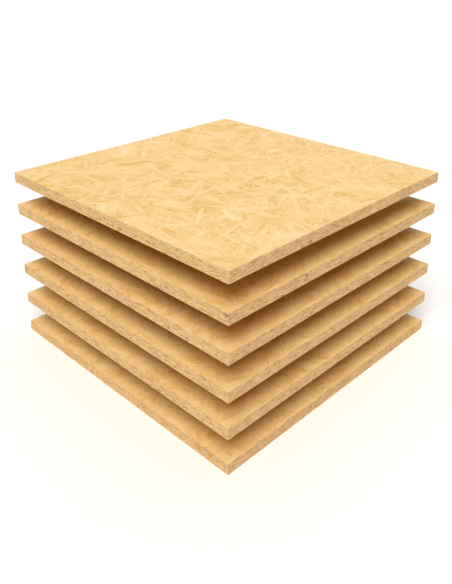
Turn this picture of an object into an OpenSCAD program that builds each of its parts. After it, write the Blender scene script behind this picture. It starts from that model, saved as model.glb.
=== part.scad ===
// A stack of square cut panels of oriented strand board, with a pair of
// spacer battens in each gap. The origin is at the middle of the underside
// of the bottom panel, and Z points up.

/* [Panels] */
// Length of each panel, along X
panel_length = 610; // [400:5:1220]
// Width of each panel, along Y
panel_width = 610; // [400:5:1220]
// Thickness of each panel
panel_thickness = 22; // [9:1:40]
// Number of panels in the stack
panel_count = 6; // [2:1:10]
// Chamfer that the saw leaves along every edge of a panel
panel_arris = 0.6; // [0.2:0.1:1.5]

/* [Spacer battens] */
// Height of a batten, which is the gap between two panels
batten_height = 47; // [20:1:100]
// Width of a batten
batten_width = 50; // [20:1:80]
// Distance from the end of a batten to the panel's edge
batten_end_inset = 100; // [60:5:150]
// Distance from the outer side of a batten to the panel's edge
batten_side_inset = 100; // [60:5:110]
// Radius of a batten's long edges
batten_edge_radius = 2; // [0.5:0.5:5]

/* [Hidden] */
$fn = 48;
pitch = panel_thickness + batten_height;
gap_count = panel_count - 1;
batten_length = panel_width - 2 * batten_end_inset;
batten_offset = panel_length / 2 - batten_side_inset - batten_width / 2;
sides = ["left", "right"];

function panel_name(level) = str("panel_", level);
function batten_name(gap, side) = str("batten_", gap, "_", side);

// Rectangle about the origin with its four corners cut off at 45 degrees.
module cut_corner_rectangle(width, height, cut) {
    x = width / 2;
    y = height / 2;
    polygon([
        [x - cut, -y], [x, -y + cut], [x, y - cut], [x - cut, y],
        [-x + cut, y], [-x, y - cut], [-x, -y + cut], [-x + cut, -y]
    ]);
}

// Rectangle about the origin with round corners, made of true arcs.
module round_corner_rectangle(width, height, radius) {
    square([width - 2 * radius, height], center = true);
    square([width, height - 2 * radius], center = true);
    for (x = [-1, 1], y = [-1, 1])
        translate([x * (width / 2 - radius), y * (height / 2 - radius)])
            circle(r = radius);
}

// One sawn panel about the origin: three chamfered sections, one along each
// axis, cross to leave a chamfer on all twelve edges.
module sawn_panel() {
    intersection() {
        linear_extrude(panel_thickness, center = true)
            cut_corner_rectangle(panel_length, panel_width, panel_arris);
        rotate([90, 0, 0])
            linear_extrude(panel_width, center = true)
                cut_corner_rectangle(panel_length, panel_thickness, panel_arris);
        rotate([90, 0, 90])
            linear_extrude(panel_length, center = true)
                cut_corner_rectangle(panel_width, panel_thickness, panel_arris);
    }
}

// One panel at its place in the stack. Level 1 is the lowest.
module panel(level) {
    color("burlywood")
        translate([0, 0, (level - 1) * pitch + panel_thickness / 2])
            sawn_panel();
}

// One planed batten at its place on top of the panel below the gap.
module batten(gap, side) {
    direction = side == "left" ? -1 : 1;
    color("wheat")
        translate([direction * batten_offset, 0, gap * pitch - batten_height / 2])
            rotate([90, 0, 0])
                linear_extrude(batten_length, center = true)
                    round_corner_rectangle(batten_width, batten_height, batten_edge_radius);
}

for (level = [1 : panel_count])
    panel(level);

for (gap = [1 : gap_count], side = sides)
    batten(gap, side);
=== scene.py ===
"""Looks of a stack of square strand board panels that battens keep apart.

Each face of a panel is pressed from about a thousand separate wood strands. They are laid over it
one by one, their outlines are cut into it, and the part of each strand that stays in sight is
raised a little and keeps its own grain direction and tone. The four sides are sawn, with the torn
layers and small voids that a saw leaves. The battens keep their modelled shape.
"""

import math
import random
from typing import NamedTuple

import bmesh
import bpy
from mathutils import Matrix, Vector
from mathutils.geometry import delaunay_2d_cdt


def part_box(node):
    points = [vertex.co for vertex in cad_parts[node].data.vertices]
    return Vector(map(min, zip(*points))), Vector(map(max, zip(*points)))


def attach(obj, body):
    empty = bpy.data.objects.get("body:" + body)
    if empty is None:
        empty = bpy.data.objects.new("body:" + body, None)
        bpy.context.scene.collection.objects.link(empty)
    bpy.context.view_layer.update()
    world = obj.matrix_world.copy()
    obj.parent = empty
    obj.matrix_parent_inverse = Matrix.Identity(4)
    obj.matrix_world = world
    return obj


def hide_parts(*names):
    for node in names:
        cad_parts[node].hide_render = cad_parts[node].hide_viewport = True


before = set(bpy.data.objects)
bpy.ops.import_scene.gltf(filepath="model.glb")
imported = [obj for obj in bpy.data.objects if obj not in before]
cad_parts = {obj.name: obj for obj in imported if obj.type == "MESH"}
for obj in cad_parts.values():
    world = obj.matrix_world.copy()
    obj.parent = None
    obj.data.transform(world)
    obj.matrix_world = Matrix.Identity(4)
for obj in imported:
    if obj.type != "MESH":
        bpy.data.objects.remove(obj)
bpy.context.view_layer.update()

bl_info = {
    "name": "Strand Board Stack",
    "version": (1, 0, 0),
    "blender": (4, 5, 0),
    "location": "3D View > Sidebar > Strand Board",
    "description": "Presses the panels of a strand board stack and finishes its battens",
    "category": "Object",
}

PANELS = sorted(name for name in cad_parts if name.startswith("panel_"))
BATTENS = sorted(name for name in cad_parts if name.startswith("batten_"))
ARRIS = 0.0006  # chamfer along every edge of a panel, as in the CAD model
MM = 0.001
OVERHANG = 0.03  # how far outside a panel the middle of a strand may fall
VOID_SHARE = 0.045  # share of the faces on a panel's sides that may be dug out as voids

# Numbers that mark the faces that belong to no strand.
BARE = -1
SAWN = -2

# What the Delaunay cut is asked for: the outlines only, with faces that a mesh can hold.
OUTLINES_ONLY = 4

SHEEN = 0.2  # specular level of bare, unvarnished wood

# Tone and warmth of the few spots of a face that no strand covers.
BARE_TONE = 0.3
BARE_WARMTH = 0.3

# How a panel's bake map is shared out: the top, the underside and the strips for its four sides.
MAP_EDGE = 0.004
TOP_SIZE = 0.700
UNDERSIDE_SIZE = 0.280
UNDERSIDE_START = 0.715
STRIPS_START = 0.712
STRIP_PITCH = 0.056
STRIP_HEIGHT = 0.050


class Aim(NamedTuple):
    """Where a distant light stands, turned from -Y towards +X, and how wide it is, in degrees."""

    height: float
    turn: float
    breadth: float


KEY_BREADTH = 40
GLOW_AIM = Aim(height=36, turn=45, breadth=36)
OVERHEAD_AIM = Aim(height=89, turn=33, breadth=80)
FILL_AIM = Aim(height=60, turn=213, breadth=60)


class Strand(NamedTuple):
    """Where one strand lies, what it looks like, and how it is pressed in."""

    centre: Vector
    turn: float
    width: float
    tone: float
    warmth: float
    offset: Vector
    height: float
    tilt: float


# ---------------------------------------------------------------- settings


class BoardSettings(bpy.types.PropertyGroup):
    """Sizes and colours of the pressed panels."""

    seed: bpy.props.IntProperty(
        name="Seed", description="Starts the random order in which strands fall", default=7, min=0
    )
    broad_strands: bpy.props.IntProperty(
        name="Broad Strands",
        description="Wide strands under the face of each panel, which close the gaps between the others",
        default=320,
        min=20,
        max=600,
    )
    face_strands: bpy.props.IntProperty(
        name="Face Strands",
        description="Strands on the face of each panel",
        default=560,
        min=20,
        max=1500,
    )
    splinters: bpy.props.IntProperty(
        name="Splinters",
        description="Thin splinters that lie on top of the strands of each face",
        default=120,
        min=0,
        max=600,
    )
    strand_length: bpy.props.FloatProperty(
        name="Strand Length",
        description="Length of an average face strand",
        default=0.104,
        min=0.03,
        max=0.2,
        subtype="DISTANCE",
        unit="LENGTH",
    )
    strand_width: bpy.props.FloatProperty(
        name="Strand Width",
        description="Width of an average face strand",
        default=0.0145,
        min=0.003,
        max=0.05,
        subtype="DISTANCE",
        unit="LENGTH",
    )
    relief: bpy.props.FloatProperty(
        name="Relief",
        description="How far the highest strand stands above the grooves between strands",
        default=0.0004,
        min=0.0,
        max=0.002,
        subtype="DISTANCE",
        unit="LENGTH",
    )
    tear: bpy.props.FloatProperty(
        name="Saw Tear",
        description="How deep the saw tears into the layers on a panel's sides",
        default=0.0005,
        min=0.0,
        max=0.002,
        subtype="DISTANCE",
        unit="LENGTH",
    )
    # Painted shade: the panels under the top one, which lie in the shade between the panels, get warmer,
    # darker strands by this share.
    inner_shade_warmth: bpy.props.FloatProperty(
        name="Inner Warmth",
        description="How much warmer the panels under the top one are, which daylight hasn't bleached",
        default=0.22,
        min=0.0,
        max=1.0,
    )
    rough_warmth: bpy.props.FloatProperty(
        name="Rough Side Warmth",
        description="How much warmer the rough underside of each panel is than its top",
        default=0.55,
        min=0.0,
        max=1.0,
    )
    pale: bpy.props.FloatVectorProperty(
        name="Pale Strands",
        description="Colour of the palest strands",
        default=(0.785, 0.605, 0.360),
        size=3,
        min=0,
        max=1,
        subtype="COLOR",
    )
    honey: bpy.props.FloatVectorProperty(
        name="Honey Strands",
        description="Colour of most strands",
        default=(0.730, 0.512, 0.251),
        size=3,
        min=0,
        max=1,
        subtype="COLOR",
    )
    amber: bpy.props.FloatVectorProperty(
        name="Amber Strands",
        description="Colour of the darkest and warmest strands",
        default=(0.615, 0.373, 0.128),
        size=3,
        min=0,
        max=1,
        subtype="COLOR",
    )
    # Besides bark specks and pits, this colour is painted as shade into the voids on the panels' sides.
    bark_and_void_shade: bpy.props.FloatVectorProperty(
        name="Bark",
        description="Colour of specks of bark and of the gaps between strands",
        default=(0.160, 0.070, 0.020),
        size=3,
        min=0,
        max=1,
        subtype="COLOR",
    )
    sawn_pale: bpy.props.FloatVectorProperty(
        name="Sawn Side, Pale",
        description="Colour of the pale layers on a sawn side",
        default=(0.780, 0.540, 0.280),
        size=3,
        min=0,
        max=1,
        subtype="COLOR",
    )
    sawn_dark: bpy.props.FloatVectorProperty(
        name="Sawn Side, Dark",
        description="Colour of the dark layers on a sawn side",
        default=(0.400, 0.215, 0.076),
        size=3,
        min=0,
        max=1,
        subtype="COLOR",
    )


class BattenSettings(bpy.types.PropertyGroup):
    """Colours and grain of the planed battens."""

    early_wood: bpy.props.FloatVectorProperty(
        name="Early Wood",
        description="Colour of the wood between the growth rings",
        default=(0.640, 0.450, 0.235),
        size=3,
        min=0,
        max=1,
        subtype="COLOR",
    )
    late_wood: bpy.props.FloatVectorProperty(
        name="Late Wood",
        description="Colour of the growth rings",
        default=(0.450, 0.240, 0.090),
        size=3,
        min=0,
        max=1,
        subtype="COLOR",
    )
    ring_width: bpy.props.FloatProperty(
        name="Ring Width",
        description="Distance between two growth rings",
        default=0.0042,
        min=0.001,
        max=0.02,
        subtype="DISTANCE",
        unit="LENGTH",
    )


class StageSettings(bpy.types.PropertyGroup):
    """Camera, floor and light."""

    camera_lens: bpy.props.FloatProperty(
        name="Camera Lens", description="Focal length", default=41.48, min=10, subtype="DISTANCE_CAMERA"
    )
    camera_shift: bpy.props.FloatVectorProperty(
        name="Camera Shift", description="How far the lens is shifted", default=(0.0058, -0.2), size=2
    )
    camera_place: bpy.props.FloatVectorProperty(
        name="Camera Place",
        description="Where the camera stands",
        default=(0.9064, -0.9206, 0.8158),
        size=3,
        subtype="TRANSLATION",
        unit="LENGTH",
    )
    camera_down: bpy.props.FloatProperty(
        name="Camera Tilt",
        description="How far the camera looks down",
        default=math.radians(19.426),
        subtype="ANGLE",
        unit="ROTATION",
    )
    camera_turn: bpy.props.FloatProperty(
        name="Camera Turn",
        description="How far the camera is turned left from looking along +Y",
        default=math.radians(44.911),
        subtype="ANGLE",
        unit="ROTATION",
    )
    floor_colour: bpy.props.FloatVectorProperty(
        name="Floor",
        description="Colour of the floor",
        default=(0.80, 0.80, 0.83),
        size=3,
        min=0,
        max=1,
        subtype="COLOR",
    )
    key_strength: bpy.props.FloatProperty(
        name="Key Light", description="Strength of the warm main light", default=3.2, min=0.0
    )
    key_colour: bpy.props.FloatVectorProperty(
        name="Key Colour",
        description="Colour of the main light",
        default=(1.0, 0.97, 0.84),
        size=3,
        min=0,
        max=1,
        subtype="COLOR",
    )
    key_height: bpy.props.FloatProperty(
        name="Key Height",
        description="Height of the main light above the horizon",
        default=math.radians(57),
        subtype="ANGLE",
        unit="ROTATION",
    )
    key_turn: bpy.props.FloatProperty(
        name="Key Turn",
        description="How far the main light is turned from the front, -Y, towards +X",
        default=math.radians(33),
        subtype="ANGLE",
        unit="ROTATION",
    )
    glow_strength: bpy.props.FloatProperty(
        name="Low Glow",
        description="Strength of the low, warm light that reaches in between the panels",
        default=0.6,
        min=0.0,
    )
    glow_colour: bpy.props.FloatVectorProperty(
        name="Glow Colour",
        description="Colour of the low light",
        default=(1.0, 0.48, 0.16),
        size=3,
        min=0,
        max=1,
        subtype="COLOR",
    )
    overhead_strength: bpy.props.FloatProperty(
        name="Overhead Light", description="Strength of the cool light from overhead", default=1.15, min=0.0
    )
    overhead_colour: bpy.props.FloatVectorProperty(
        name="Overhead Colour",
        description="Colour of the light from overhead",
        default=(0.70, 0.84, 1.0),
        size=3,
        min=0,
        max=1,
        subtype="COLOR",
    )
    fill_strength: bpy.props.FloatProperty(
        name="Fill Light", description="Strength of the light from behind", default=0.55, min=0.0
    )


# ---------------------------------------------------------------- shader recipes


class Value:
    """A node's output that can be used in Python arithmetic, which adds Math nodes."""

    def __init__(self, recipe, socket):
        self.recipe = recipe
        self.socket = socket

    def __add__(self, other):
        return self.recipe.math("ADD", self, other)

    def __sub__(self, other):
        return self.recipe.math("SUBTRACT", self, other)

    def __rsub__(self, other):
        return self.recipe.math("SUBTRACT", other, self)

    def __mul__(self, other):
        return self.recipe.math("MULTIPLY", self, other)

    def __truediv__(self, other):
        return self.recipe.math("DIVIDE", self, other)

    __radd__ = __add__
    __rmul__ = __mul__


class Recipe:
    """Writes the nodes of one material or of the sky."""

    def __init__(self, owner):
        owner.use_nodes = True
        self.tree = owner.node_tree
        self.tree.nodes.clear()

    def add(self, kind, settings=None, inputs=None, output=0):
        """Adds a node with its settings, then its socket values or links; gives one output."""
        node = self.tree.nodes.new(kind)
        for name, value in (settings or {}).items():
            if name == "stops":
                self.set_stops(node.color_ramp, value)
            else:
                setattr(node, name, value)
        for key, value in (inputs or {}).items():
            if isinstance(value, Value):
                self.tree.links.new(value.socket, node.inputs[key])
            else:
                node.inputs[key].default_value = value
        return Value(self, node.outputs[output]) if node.outputs else None

    @staticmethod
    def set_stops(ramp, stops):
        """Gives a ramp these (place, colour) stops."""
        while len(ramp.elements) < len(stops):
            ramp.elements.new(1.0)
        for element, (place, colour) in zip(ramp.elements, stops):
            element.position = place
            element.color = (*colour, 1)

    def math(self, operation, *terms):
        """A sum on numbers."""
        return self.add("ShaderNodeMath", {"operation": operation}, dict(enumerate(terms)))

    def vector(self, operation, *terms):
        """A sum on points or colours."""
        return self.add("ShaderNodeVectorMath", {"operation": operation}, dict(enumerate(terms)))

    def place(self):
        """The point on the object, in metres."""
        return self.add("ShaderNodeTexCoord", output="Object")

    def tag(self, name):
        """A number that the faces of a mesh carry."""
        return self.add("ShaderNodeAttribute", {"attribute_name": name}, output="Fac")

    def split(self, kind, value):
        """The three parts of a vector, kind XYZ, or of a colour, kind Color."""
        key = "Vector" if kind == "XYZ" else "Color"
        return [self.add(f"ShaderNodeSeparate{kind}", None, {key: value}, part) for part in range(3)]

    def noise(self, place, stretch, detail=2.0, roughness=0.5):
        """Noise whose grains are as long as one over stretch says, along each axis."""
        inputs = {"Vector": self.vector("MULTIPLY", place, stretch), "Scale": 1.0}
        inputs |= {"Detail": detail, "Roughness": roughness}
        return self.add("ShaderNodeTexNoise", None, inputs)

    def steps(self, value, low, high):
        """A smooth step of value from 0 at low to 1 at high."""
        inputs = {"Value": value, "From Min": low, "From Max": high}
        return self.add("ShaderNodeMapRange", {"interpolation_type": "SMOOTHSTEP"}, inputs)

    def mix(self, share, first, second):
        """Mixes two colours, the second by this share."""
        first, second = ((*c, 1) if isinstance(c, tuple) else c for c in (first, second))
        return self.add("ShaderNodeMix", {"data_type": "RGBA"}, {0: share, 6: first, 7: second}, 2)

    def finish(self, colour, roughness, height, bump_strength, bump_distance):
        """Ends the recipe with a matt surface of this colour, roughness and height."""
        inputs = {"Strength": bump_strength, "Distance": bump_distance, "Height": height}
        bump = self.add("ShaderNodeBump", None, inputs)
        inputs = {"Base Color": colour, "Roughness": roughness, "Normal": bump}
        inputs["Specular IOR Level"] = SHEEN
        surface = self.add("ShaderNodeBsdfPrincipled", None, inputs)
        self.add("ShaderNodeOutputMaterial", None, {"Surface": surface})


def strand_finish(look):
    """Pressed strands: each keeps its own tone, with fine grain along its length."""
    material = bpy.data.materials.new("pressed_strands")
    wood = Recipe(material)
    flow = wood.add("ShaderNodeUVMap", {"uv_map": "strand_grain"})
    tone = wood.tag("strand_tone")
    warmth = wood.tag("strand_warmth")

    fibre = wood.noise(flow, (22, 1000, 1), 3.0, 0.6)
    hair = wood.noise(flow, (26, 430, 1), 2.0, 0.6)
    streak = wood.noise(flow, (8, 190, 1), 2.0, 0.55)
    sweep = wood.noise(flow, (9, 55, 1), 1.0)
    rings = wood.steps(wood.noise(flow, (5, 330, 1), 1.0), 0.56, 0.66)

    pale, honey, amber = tuple(look.pale), tuple(look.honey), tuple(look.amber)
    mottle = wood.noise(wood.place(), (20, 20, 20), 2.0)
    level = tone + (streak - 0.5) * 1.3 + (hair - 0.5) * 1.2 + (sweep + mottle - 1) * 0.8
    ramp = {"stops": ((0.0, amber), (0.42, honey), (1.0, pale))}
    colour = wood.add("ShaderNodeValToRGB", ramp, {"Fac": level})
    # Warmth pulls a strand towards amber: on the panels under the top one this is painted shade, on the
    # undersides and on a few strands it is their own tone.
    colour = wood.mix(warmth * 0.75, colour, amber)
    colour = wood.mix(rings * (0.20 + warmth * 0.30), colour, amber)
    colour = wood.mix((1 - wood.steps(fibre, 0.20, 0.62)) * 0.30, colour, amber)

    patches = wood.noise(wood.place(), (11, 11, 11), 1.0)
    speck_field = wood.noise(flow, (110, 520, 1), 1.0) + (patches - 0.5) * 0.25
    specks = wood.steps(speck_field, 0.735, 0.78)
    colour = wood.mix(specks * 0.60, colour, tuple(look.bark_and_void_shade))

    height = fibre * 0.35 + hair * 0.45 + streak * 0.4 - specks * 0.6
    wood.finish(colour, 0.58 + (1 - fibre) * 0.2, height, 0.5, 0.0005)
    return material


def sawn_finish(look):
    """Sawn sides: thin strand ends in layers, with torn fibres, and voids darkened with painted shade."""
    material = bpy.data.materials.new("sawn_sides")
    wood = Recipe(material)
    place = wood.place()
    shade = wood.tag("void_shade")

    wander = wood.noise(place, (14, 14, 60), 1.0)
    lift = wood.add("ShaderNodeCombineXYZ", None, {"Z": (wander - 0.5) * 0.0025})
    bent = wood.vector("ADD", place, lift)
    cells = {"Vector": wood.vector("MULTIPLY", bent, (85, 85, 700)), "Scale": 1.0}
    strand_ends = wood.add("ShaderNodeTexVoronoi", None, cells, output="Color")
    tone = wood.split("Color", strand_ends)[0]
    seam = wood.add("ShaderNodeTexVoronoi", {"feature": "DISTANCE_TO_EDGE"}, cells)
    seams = 1 - wood.steps(seam, 0.0, 0.10)
    fibre = wood.noise(bent, (210, 210, 1000), 2.0, 0.6)
    dashes = wood.steps(wood.noise(bent, (110, 110, 480), 2.0, 0.6), 0.57, 0.66)
    pits = wood.steps(wood.noise(bent, (170, 170, 430), 1.0), 0.68, 0.74)
    patch = wood.noise(place, (13, 13, 40), 2.0)

    pale, dark, bark_and_void_shade = tuple(look.sawn_pale), tuple(look.sawn_dark), tuple(look.bark_and_void_shade)
    level = tone * 0.45 + fibre * 0.50 + (patch - 0.5) * 0.3
    colour = wood.mix(1 - wood.steps(level, 0.15, 0.60), pale, dark)
    colour = wood.mix(0.45, colour, pale)
    colour = wood.mix(seams * 0.25, colour, dark)
    colour = wood.mix(dashes * 0.80, colour, dark)
    colour = wood.mix(pits * 0.75, colour, bark_and_void_shade)
    # Painted shade: the faces of each void are darkened towards the bark colour.
    colour = wood.mix(shade * 0.75, colour, bark_and_void_shade)

    height = fibre * 0.4 + tone * 0.3 - seams * 0.3 - pits * 0.7 - dashes * 0.4
    wood.finish(colour, 0.74 + (1 - fibre) * 0.2, height, 0.6, 0.0006)
    return material


def batten_finish(look, board_height, gap_height, middle):
    """Planed softwood: growth rings about a pith that runs along each batten."""
    material = bpy.data.materials.new("planed_softwood")
    wood = Recipe(material)
    right, along, up = wood.split("XYZ", wood.place())
    aside = wood.math("ABSOLUTE", right)
    side = wood.math("SIGN", right)
    pitch = board_height + gap_height
    gap = wood.math("FLOOR", up / pitch)
    key = wood.add("ShaderNodeCombineXYZ", None, {"X": gap, "Y": side, "Z": 0.5})
    chance = wood.add("ShaderNodeTexWhiteNoise", None, {"Vector": key}, output="Color")
    sideways, deep, dark_share = wood.split("Color", chance)
    across = aside - middle + (sideways - 0.5) * 0.05
    depth = up - gap * pitch - board_height + 0.012 + deep * 0.05

    shift = wood.add("ShaderNodeCombineXYZ", None, {"X": aside, "Y": along + gap, "Z": up})
    drift = wood.noise(shift, (3, 2.2, 3), 1.0)
    reach = wood.math("SQRT", across * across + depth * depth) + (drift - 0.5) * 0.012
    turns = wood.math("FRACT", reach / look.ring_width)
    late = wood.steps(turns, 0.35, 0.92) * (1 - wood.steps(turns, 0.93, 1.0))
    fibre = wood.noise(shift, (900, 14, 900), 2.0, 0.6)
    pores = wood.steps(wood.noise(shift, (1500, 30, 1500), 1.0), 0.62, 0.74)

    early, dark = tuple(look.early_wood), tuple(look.late_wood)
    colour = wood.mix(late * 0.7, early, dark)
    colour = wood.mix((1 - fibre) * 0.35, colour, dark)
    colour = wood.mix(pores * 0.25, colour, dark)
    colour = wood.mix(dark_share * 0.22, colour, dark)

    height = fibre * 0.5 - pores * 0.4 + late * 0.25
    wood.finish(colour, 0.58 + (1 - late) * 0.12, height, 0.35, 0.0003)
    return material


# ---------------------------------------------------------------- panel faces


def saw_marks(rng, low, high):
    """Places along one side of a panel, from low to before high, at which its sawn face may step."""
    marks = [low]
    while marks[-1] < high - 0.013:
        marks.append(marks[-1] + rng.uniform(0.003, 0.012))
    return marks


def board_outline(rng, low, high):
    """Points round a panel, in order, close enough to carry the tear of its sides."""
    points = [(x, low.y) for x in saw_marks(rng, low.x, high.x)]
    points += [(high.x, y) for y in saw_marks(rng, low.y, high.y)]
    points += [(low.x + high.x - x, high.y) for x in saw_marks(rng, low.x, high.x)]
    points += [(low.x, low.y + high.y - y) for y in saw_marks(rng, low.y, high.y)]
    return [Vector(point) for point in points]


def cut_strand(blank, rng, place, low, high):
    """Cuts one strand as a six-sided chip, lays it at its place and trims it at the panel's edges."""
    blank.clear()
    corners = bmesh.ops.create_circle(blank, cap_ends=True, radius=1, segments=6)["verts"]
    for corner in corners:
        # The square root moves the corners towards the ends, so the chip stays broad almost to them.
        corner.co.x = math.copysign(abs(corner.co.x) ** 0.5, corner.co.x) * rng.uniform(0.84, 1.08)
        corner.co.y *= rng.uniform(0.75, 1.2)
    bmesh.ops.transform(blank, matrix=place, verts=corners)
    for axis in (0, 1):
        for edge, side in ((low, -1), (high, 1)):
            if any((v.co[axis] - edge[axis]) * side > 0 for v in blank.verts):
                normal = Vector((0, 0, 0))
                normal[axis] = side
                bmesh.ops.bisect_plane(
                    blank,
                    geom=blank.verts[:] + blank.edges[:] + blank.faces[:],
                    plane_co=Vector((edge[0], edge[1], 0)),
                    plane_no=normal,
                    clear_outer=True,
                )
    return [([v.co.xy.copy() for v in face.verts], face.calc_area()) for face in blank.faces]


def strand_sizes(rng, look):
    """Length and width of every strand of one face, from the lowest layer to the top."""
    length, width = look.strand_length, look.strand_width
    for _ in range(look.broad_strands):
        yield length * rng.uniform(1.1, 1.6), width * rng.uniform(1.7, 3.0)
    for _ in range(look.face_strands):
        yield length * rng.uniform(0.55, 1.35), width * rng.triangular(0.35, 1.7, 0.75)
    for _ in range(look.splinters):
        yield length * rng.uniform(0.2, 0.75), width * rng.uniform(0.12, 0.32)


def lay_strands(rng, low, high, look, warm):
    """Lays every strand of a face; gives the strands, and each one's outlines within the panel."""
    blank = bmesh.new()
    strands, outlines = [], []
    for length, width in strand_sizes(rng, look):
        x = rng.uniform(low.x - OVERHANG, high.x + OVERHANG)
        y = rng.uniform(low.y - OVERHANG, high.y + OVERHANG)
        centre = Vector((x, y, 0))
        turn = rng.uniform(0, math.pi)
        place = Matrix.Translation(centre) @ Matrix.Rotation(turn, 4, "Z")
        place = place @ Matrix.Diagonal((length / 2, width / 2, 1, 1))
        shapes = cut_strand(blank, rng, place, low, high)
        strand = Strand(
            centre=centre,
            turn=turn,
            width=width,
            tone=rng.gauss(0.50, 0.10),
            warmth=min(1.0, warm + (rng.uniform(0.15, 0.55) if rng.random() < 0.08 else 0.0)),
            offset=Vector((rng.uniform(-40, 40), rng.uniform(-40, 40))),
            height=rng.uniform(0.35, 0.75),
            tilt=rng.uniform(-0.25, 0.25),
        )
        outlines += [(len(strands), shape, area) for shape, area in shapes]
        strands.append(strand)
    blank.free()
    return strands, outlines


def cut_face(outline, low, high, outlines):
    """A flat face whose edges are all the outlines, with the top strand's number on every face."""
    inside = [Vector(p) for p in ((low.x, low.y), (high.x, low.y), (high.x, high.y), (low.x, high.y))]
    owners, points, loops = [SAWN, BARE], [], []
    for loop in [outline, inside] + [shape for _, shape, _ in outlines]:
        loops.append(list(range(len(points), len(points) + len(loop))))
        points += loop
    owners += [number for number, _, _ in outlines]
    spots, _, cells, _, _, covers = delaunay_2d_cdt(points, [], loops, OUTLINES_ONLY, 1e-6)
    bm = bmesh.new()
    number = bm.faces.layers.int.new("strand_number")
    corners = [bm.verts.new((*spot, 0)) for spot in spots]
    for cell in cells:
        bm.faces.new([corners[i] for i in cell])
    open_loops = leaking_loops(bm, covers, [math.inf, math.inf] + [area for _, _, area in outlines])
    for face, cover in zip(bm.faces, covers):
        face[number] = max(owners[i] for i in cover if i not in open_loops)
    bm.normal_update()
    return bm


def leaking_loops(bm, covers, areas):
    """Outlines that the cut failed to close, so that they cover more than their own area."""
    covered = [0.0] * len(areas)
    for face, cover in zip(bm.faces, covers):
        for i in cover:
            covered[i] += face.calc_area()
    return {i for i, area in enumerate(areas) if covered[i] > 1.01 * area + 1e-8}


def fuse_faces(bm, number):
    """Joins neighbouring faces that show the same strand."""
    for edge in bm.edges:
        sides = edge.link_faces
        edge.smooth = len(sides) == 2 and sides[0][number] == sides[1][number]
    bmesh.ops.dissolve_limit(
        bm,
        angle_limit=0.05,
        use_dissolve_boundaries=False,
        verts=[v for v in bm.verts if not v.is_boundary],
        edges=[e for e in bm.edges if e.smooth],
        delimit={"SHARP"},
    )


def breadth(face):
    """Mean breadth of a long face."""
    return 2 * face.calc_area() / max(face.calc_perimeter(), 1e-9)


def give_up_slivers(bm, number, least):
    """Gives each face that is narrower than least to the strand with which it shares most edge."""
    for face in list(bm.faces):
        if face[number] == SAWN or breadth(face) > least:
            continue
        shared = {}
        for edge in face.edges:
            for other in edge.link_faces:
                if other is not face and other[number] != SAWN:
                    owner = other[number]
                    shared[owner] = shared.get(owner, 0.0) + edge.calc_length()
        if shared:
            face[number] = max(shared, key=shared.get)
    fuse_faces(bm, number)


def folded_faces(bm, inner):
    """Those of the inner faces that their rims have folded over, so that a part faces down."""
    found = []
    for triangle in bm.calc_loop_triangles():
        first, second, third = (loop.vert.co.xy for loop in triangle)
        if (second - first).cross(third - first) < 0:
            around = triangle[0].face
            found += [around] + [face for edge in around.edges for face in edge.link_faces]
    return inner.intersection(found)


def ease_rims(bm, inner):
    """Narrows the rims that fold a face over, in up to three rounds."""
    for _ in range(3):
        inner = folded_faces(bm, inner)
        for face in inner:
            own = set(face.edges)
            for corner in face.verts:
                spoke = next(edge for edge in corner.link_edges if edge not in own)
                corner.co = spoke.other_vert(corner).co.lerp(corner.co, 0.25)


def raise_strands(bm, number, strands, relief, rim):
    """Raises what shows of each strand above its outline, a little askew, with a sloping rim."""
    wide = [face for face in bm.faces if face[number] >= 0 and breadth(face) > 3.2 * rim]
    bmesh.ops.inset_individual(bm, faces=wide, thickness=rim, use_even_offset=False)
    ease_rims(bm, set(wide))
    for face in wide:
        strand = strands[face[number]]
        across = Vector((-math.sin(strand.turn), math.cos(strand.turn)))
        for corner in face.verts:
            offset = (corner.co.xy - strand.centre.xy).dot(across) / strand.width
            corner.co.z = relief * min(1.0, strand.height + strand.tilt * 2 * offset)


def press_face(rng, outline, low, high, look, warm):
    """One face of a panel, lying at height 0 and facing up, and its strands."""
    strands, outlines = lay_strands(rng, low, high, look, warm)
    bm = cut_face(outline, low, high, outlines)
    number = bm.faces.layers.int["strand_number"]
    fuse_faces(bm, number)
    for least in (0.5 * MM, 1.0 * MM):
        give_up_slivers(bm, number, least)
    raise_strands(bm, number, strands, look.relief, 0.28 * MM)
    return bm, strands


# ---------------------------------------------------------------- sawn sides


def layer_heights(rng, top, bottom):
    """Heights of the layer lines on a sawn side, from just under top to just over bottom."""
    heights = [top - rng.uniform(0.0008, 0.0015)]
    while heights[-1] - bottom > 0.0026:
        heights.append(heights[-1] - rng.uniform(0.0008, 0.0021))
    return heights


def saw_sides(bm, rng, low, high, look):
    """Closes the gap between a panel's two faces with torn layers."""
    middle = (low.z + high.z) / 2
    rim = [e for e in bm.edges if e.is_boundary and e.verts[0].co.z > middle]
    below = [v for v in bm.verts if v.is_boundary and v.co.z < middle]
    top, bottom = rim[0].verts[0].co.z, below[0].co.z
    sides, layers = [], []
    for height in [*layer_heights(rng, top, bottom), bottom]:
        made = bmesh.ops.extrude_edge_only(bm, edges=rim)["geom"]
        corners = [part for part in made if isinstance(part, bmesh.types.BMVert)]
        sides += [part for part in made if isinstance(part, bmesh.types.BMFace)]
        rim = [part for part in made if isinstance(part, bmesh.types.BMEdge) and part.is_boundary]
        for corner in corners:
            corner.co.z = height
        layers.append(corners)
    bmesh.ops.remove_doubles(bm, verts=layers.pop() + below, dist=1e-5)
    for corners in layers:
        set_back = rng.uniform(0.0, 0.3)
        for corner in corners:
            corner.co.z += rng.uniform(-0.2, 0.2) * MM
            tear_in(corner, low, high, look.tear * (set_back + rng.uniform(0, 0.7)))
    # The extrusion gives its faces in another order each run, so they are put in a fixed one.
    bm.verts.index_update()
    return sorted((face for face in sides if face.is_valid), key=corner_numbers)


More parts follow.
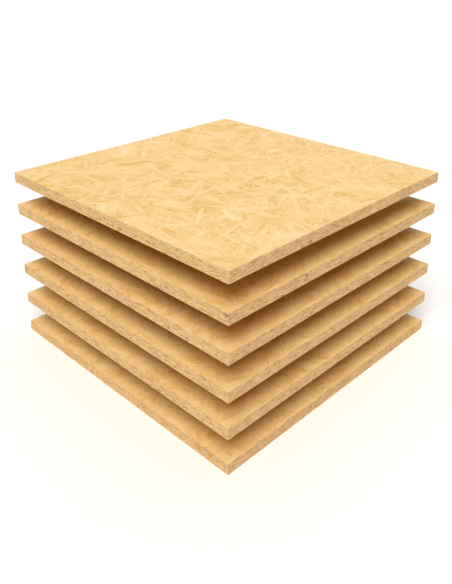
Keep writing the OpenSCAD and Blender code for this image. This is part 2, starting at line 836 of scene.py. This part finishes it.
def corner_numbers(face):
    """The numbers of a face's corners, by which faces are put in a fixed order."""
    return sorted(corner.index for corner in face.verts)


def tear_in(corner, low, high, depth):
    """Moves a corner on a panel's side into the panel."""
    for axis in (0, 1):
        for edge, inward in ((low, 1), (high, -1)):
            if abs(corner.co[axis] - edge[axis]) < 1e-6:
                corner.co[axis] += inward * depth


def dig_voids(bm, rng, sides, shade):
    """Sinks small slots between the layers of the sides, as a saw opens them, and marks them to be darkened
    with painted shade.
    """
    chosen = [face for face in sides if rng.random() < VOID_SHARE]
    for depth in (0.0008, 0.0016):
        batch = [face for face in chosen if rng.random() < 0.5 and face[shade] == 0]
        if not batch:
            continue
        bmesh.ops.inset_individual(bm, faces=batch, thickness=0.3 * MM, depth=-depth, use_even_offset=True)
        for face in batch:
            face[shade] = 1.0


# ---------------------------------------------------------------- whole panels


def turn_over(bm):
    """Turns a face that lies facing up into one that faces down, with its outline in place."""
    bmesh.ops.scale(bm, vec=(1, 1, -1), verts=bm.verts)
    bmesh.ops.reverse_faces(bm, faces=bm.faces)


def join_faces(upper, lower, strands_above):
    """Puts the lower face into the upper one's mesh; its strands are numbered on from there."""
    number = lower.faces.layers.int["strand_number"]
    for face in lower.faces:
        if face[number] >= 0:
            face[number] += strands_above
    loose = bpy.data.meshes.new("lower_face")
    lower.to_mesh(loose)
    lower.free()
    upper.from_mesh(loose)
    bpy.data.meshes.remove(loose)


def set_face(bm, low, high, level):
    """Moves a face to its level and drops its outer rim by the arris."""
    facing = 1 if level > (low.z + high.z) / 2 else -1
    bmesh.ops.translate(bm, vec=(0, 0, level), verts=bm.verts)
    for corner in bm.verts:
        if corner.is_boundary:
            corner.co.z = (high.z if facing > 0 else low.z) - facing * ARRIS


def mark_strands(bm, strands):
    """Writes each strand's tone and warmth, and the way its grain runs, on its faces."""
    number = bm.faces.layers.int["strand_number"]
    tone = bm.faces.layers.float.new("strand_tone")
    warmth = bm.faces.layers.float.new("strand_warmth")
    grain = bm.loops.layers.uv.new("strand_grain")
    for face in bm.faces:
        if face[number] < 0:
            face[tone] = BARE_TONE
            face[warmth] = BARE_WARMTH
            for loop in face.loops:
                loop[grain].uv = loop.vert.co.xy
            continue
        strand = strands[face[number]]
        face[tone] = strand.tone
        face[warmth] = strand.warmth
        along = Vector((math.cos(strand.turn), math.sin(strand.turn)))
        across = Vector((-along.y, along.x))
        for loop in face.loops:
            spot = loop.vert.co.xy - strand.centre.xy
            loop[grain].uv = Vector((spot.dot(along), spot.dot(across))) + strand.offset


def lay_out_bake(bm, low, high):
    """A map of the panel: the top large, the underside small, the four sides as strips."""
    sheet = bm.loops.layers.uv.new("OFBake")
    size = high - low
    middle = (low.z + high.z) / 2
    for face in bm.faces:
        level = abs(face.normal.z) > 0.5 and not inside_side(face, low, high)
        flat = level or face.material_index == 0
        for loop in face.loops:
            spot = loop.vert.co - low
            u, v, w = spot.x / size.x, spot.y / size.y, spot.z / size.z
            if flat and face.calc_center_median().z > middle:
                place = (MAP_EDGE + TOP_SIZE * u, MAP_EDGE + TOP_SIZE * v)
            elif flat:
                place = (UNDERSIDE_START + UNDERSIDE_SIZE * u, MAP_EDGE + UNDERSIDE_SIZE * v)
            else:
                side = side_of(face, low, high)
                run = u if side < 2 else v
                strip = STRIPS_START + STRIP_PITCH * side
                place = (MAP_EDGE + TOP_SIZE * run, strip + STRIP_HEIGHT * w)
            loop[sheet].uv = place


def side_of(face, low, high):
    """Which side of the panel a face belongs to: 0 and 1 along X, 2 and 3 along Y."""
    centre = face.calc_center_median()
    gaps = (centre.y - low.y, high.y - centre.y, centre.x - low.x, high.x - centre.x)
    return gaps.index(min(gaps))


def inside_side(face, low, high):
    """True for a face that lies between the two arrises, such as a void's wall."""
    height = face.calc_center_median().z
    return low.z + ARRIS * 1.01 < height < high.z - ARRIS * 1.01


def press_board(rng, low, high, look, warm):
    """The mesh of one whole panel; its underside is its warmer, rough side."""
    outline = board_outline(rng, low, high)
    margin = Vector((ARRIS, ARRIS, 0))
    upper, above = press_face(rng, outline, low + margin, high - margin, look, warm)
    lower, below = press_face(rng, outline, low + margin, high - margin, look, warm + look.rough_warmth)
    turn_over(lower)
    set_face(upper, low, high, high.z - look.relief)
    set_face(lower, low, high, low.z + look.relief)
    join_faces(upper, lower, len(above))
    close_board(upper, rng, low, high, look)
    mark_strands(upper, above + below)
    lay_out_bake(upper, low, high)
    upper.faces.layers.int.remove(upper.faces.layers.int["strand_number"])
    return upper


def close_board(bm, rng, low, high, look):
    """Saws the sides between a panel's two faces, and gives faces and sides their finishes."""
    shade = bm.faces.layers.float.new("void_shade")
    number = bm.faces.layers.int["strand_number"]
    sides = saw_sides(bm, rng, low, high, look)
    for face in sides:
        face[number] = SAWN
    dig_voids(bm, rng, sides, shade)
    bmesh.ops.recalc_face_normals(bm, faces=bm.faces)
    for face in bm.faces:
        face.material_index = 1 if face[number] == SAWN else 0
    for edge in bm.edges:
        edge.smooth = True
    bm.verts.index_update()
    for place, face in enumerate(sorted(bm.faces, key=corner_numbers)):
        face.index = place
    bm.faces.sort()
    bm.normal_update()


def put_in_place(bm, node, finishes):
    """Turns a panel's mesh into the object that stands for its CAD node."""
    mesh = bpy.data.meshes.new(node.replace("panel", "strand_board"))
    bm.to_mesh(mesh)
    bm.free()
    for finish in finishes:
        mesh.materials.append(finish)
    board = bpy.data.objects.new(mesh.name, mesh)
    bpy.context.scene.collection.objects.link(board)
    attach(board, "root")
    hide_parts(node)


# ---------------------------------------------------------------- operators


class STRANDBOARD_OT_set_stage(bpy.types.Operator):
    """Set up the camera, the floor and the soft light"""

    bl_idname = "strandboard.set_stage"
    bl_label = "Set Stage"

    def execute(self, context):
        look = context.scene.board_stage
        self.place_camera(context, look)
        self.light(context, look)
        self.lay_floor(context, look)
        return {"FINISHED"}

    def place_camera(self, context, look):
        data = bpy.data.cameras.new("camera")
        data.sensor_width = 36.0
        data.lens = look.camera_lens
        data.shift_x, data.shift_y = look.camera_shift
        camera = bpy.data.objects.new("camera", data)
        camera.location = look.camera_place
        camera.rotation_euler = (math.pi / 2 - look.camera_down, 0, look.camera_turn)
        context.scene.collection.objects.link(camera)
        context.scene.camera = camera

    def light(self, context, look):
        """A warm key, a low glow from the camera's side, a cool overhead light and a weak back fill."""
        context.scene.view_settings.view_transform = "Standard"
        context.scene.world = self.white_backdrop()
        key_aim = Aim(math.degrees(look.key_height), math.degrees(look.key_turn), KEY_BREADTH)
        self.soft_light(context, "warm_key", look.key_strength, look.key_colour, key_aim)
        self.soft_light(context, "low_glow", look.glow_strength, look.glow_colour, GLOW_AIM)
        self.soft_light(context, "overhead", look.overhead_strength, look.overhead_colour, OVERHEAD_AIM)
        self.soft_light(context, "back_fill", look.fill_strength, (1, 1, 1), FILL_AIM)

    def white_backdrop(self):
        """A sky that the camera sees as white and that gives no light."""
        world = bpy.data.worlds.new("white_backdrop")
        sky = Recipe(world)
        seen = sky.add("ShaderNodeLightPath", output="Is Camera Ray")
        white = {"Color": (1, 1, 1, 1), "Strength": seen}
        backdrop = sky.add("ShaderNodeBackground", None, white)
        sky.add("ShaderNodeOutputWorld", None, {"Surface": backdrop})
        return world

    def soft_light(self, context, name, strength, colour, aim):
        """A wide, distant light."""
        data = bpy.data.lights.new(name, "SUN")
        data.energy = strength
        data.color = colour
        data.angle = math.radians(aim.breadth)
        lamp = bpy.data.objects.new(name, data)
        lamp.rotation_euler = (math.radians(90 - aim.height), 0, math.radians(aim.turn))
        context.scene.collection.objects.link(lamp)

    def lay_floor(self, context, look):
        bm = bmesh.new()
        bmesh.ops.create_grid(bm, x_segments=1, y_segments=1, size=30)
        mesh = bpy.data.meshes.new("floor")
        bm.to_mesh(mesh)
        bm.free()
        material = bpy.data.materials.new("pale_floor")
        paint = Recipe(material)
        mottle = paint.noise(paint.place(), (1.5, 1.5, 1.5), 2.0)
        colour = tuple(look.floor_colour)
        dusty = tuple(channel * 0.985 for channel in colour)
        paint.finish(paint.mix(mottle, colour, dusty), 0.9 + mottle * 0.05, mottle, 0.0, 0.001)
        mesh.materials.append(material)
        floor = bpy.data.objects.new("floor", mesh)
        context.scene.collection.objects.link(floor)


class STRANDBOARD_OT_press_boards(bpy.types.Operator):
    """Press every panel of the stack from separate strands"""

    bl_idname = "strandboard.press_boards"
    bl_label = "Press Boards"

    def execute(self, context):
        look = context.scene.board_look
        finishes = (strand_finish(look), sawn_finish(look))
        for node in PANELS:
            rng = random.Random(f"{look.seed} {node}")
            # Painted shade: every panel but the top one gets warmer, darker strands.
            warm = 0.0 if node == PANELS[-1] else look.inner_shade_warmth
            put_in_place(press_board(rng, *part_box(node), look, warm), node, finishes)
        return {"FINISHED"}


class STRANDBOARD_OT_finish_battens(bpy.types.Operator):
    """Finish the spacer battens as planed softwood"""

    bl_idname = "strandboard.finish_battens"
    bl_label = "Finish Battens"

    def execute(self, context):
        low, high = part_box(PANELS[0])
        above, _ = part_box(PANELS[1])
        left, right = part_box(BATTENS[0])
        middle = abs(left.x + right.x) / 2
        finish = batten_finish(context.scene.batten_look, high.z - low.z, above.z - high.z, middle)
        for node in BATTENS:
            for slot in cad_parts[node].material_slots:
                slot.material = finish
        return {"FINISHED"}


class STRANDBOARD_PT_stack(bpy.types.Panel):
    """Steps that build the stack, in order"""

    bl_idname = "STRANDBOARD_PT_stack"
    bl_label = "Strand Board Stack"
    bl_space_type = "VIEW_3D"
    bl_region_type = "UI"
    bl_category = "Strand Board"

    def draw(self, context):
        scene = context.scene
        steps = (
            (STRANDBOARD_OT_set_stage, scene.board_stage),
            (STRANDBOARD_OT_press_boards, scene.board_look),
            (STRANDBOARD_OT_finish_battens, scene.batten_look),
        )
        for step, settings in steps:
            box = self.layout.box()
            for name in settings.__annotations__:
                box.prop(settings, name)
            box.operator(step.bl_idname)


CLASSES = (
    BoardSettings,
    BattenSettings,
    StageSettings,
    STRANDBOARD_OT_set_stage,
    STRANDBOARD_OT_press_boards,
    STRANDBOARD_OT_finish_battens,
    STRANDBOARD_PT_stack,
)


def register():
    for cls in CLASSES:
        bpy.utils.register_class(cls)
    bpy.types.Scene.board_look = bpy.props.PointerProperty(type=BoardSettings)
    bpy.types.Scene.batten_look = bpy.props.PointerProperty(type=BattenSettings)
    bpy.types.Scene.board_stage = bpy.props.PointerProperty(type=StageSettings)


def unregister():
    del bpy.types.Scene.board_stage
    del bpy.types.Scene.batten_look
    del bpy.types.Scene.board_look
    for cls in reversed(CLASSES):
        bpy.utils.unregister_class(cls)


def main():
    register()
    bpy.ops.strandboard.set_stage()
    bpy.ops.strandboard.press_boards()
    bpy.ops.strandboard.finish_battens()


if __name__ == "__main__":
    main()
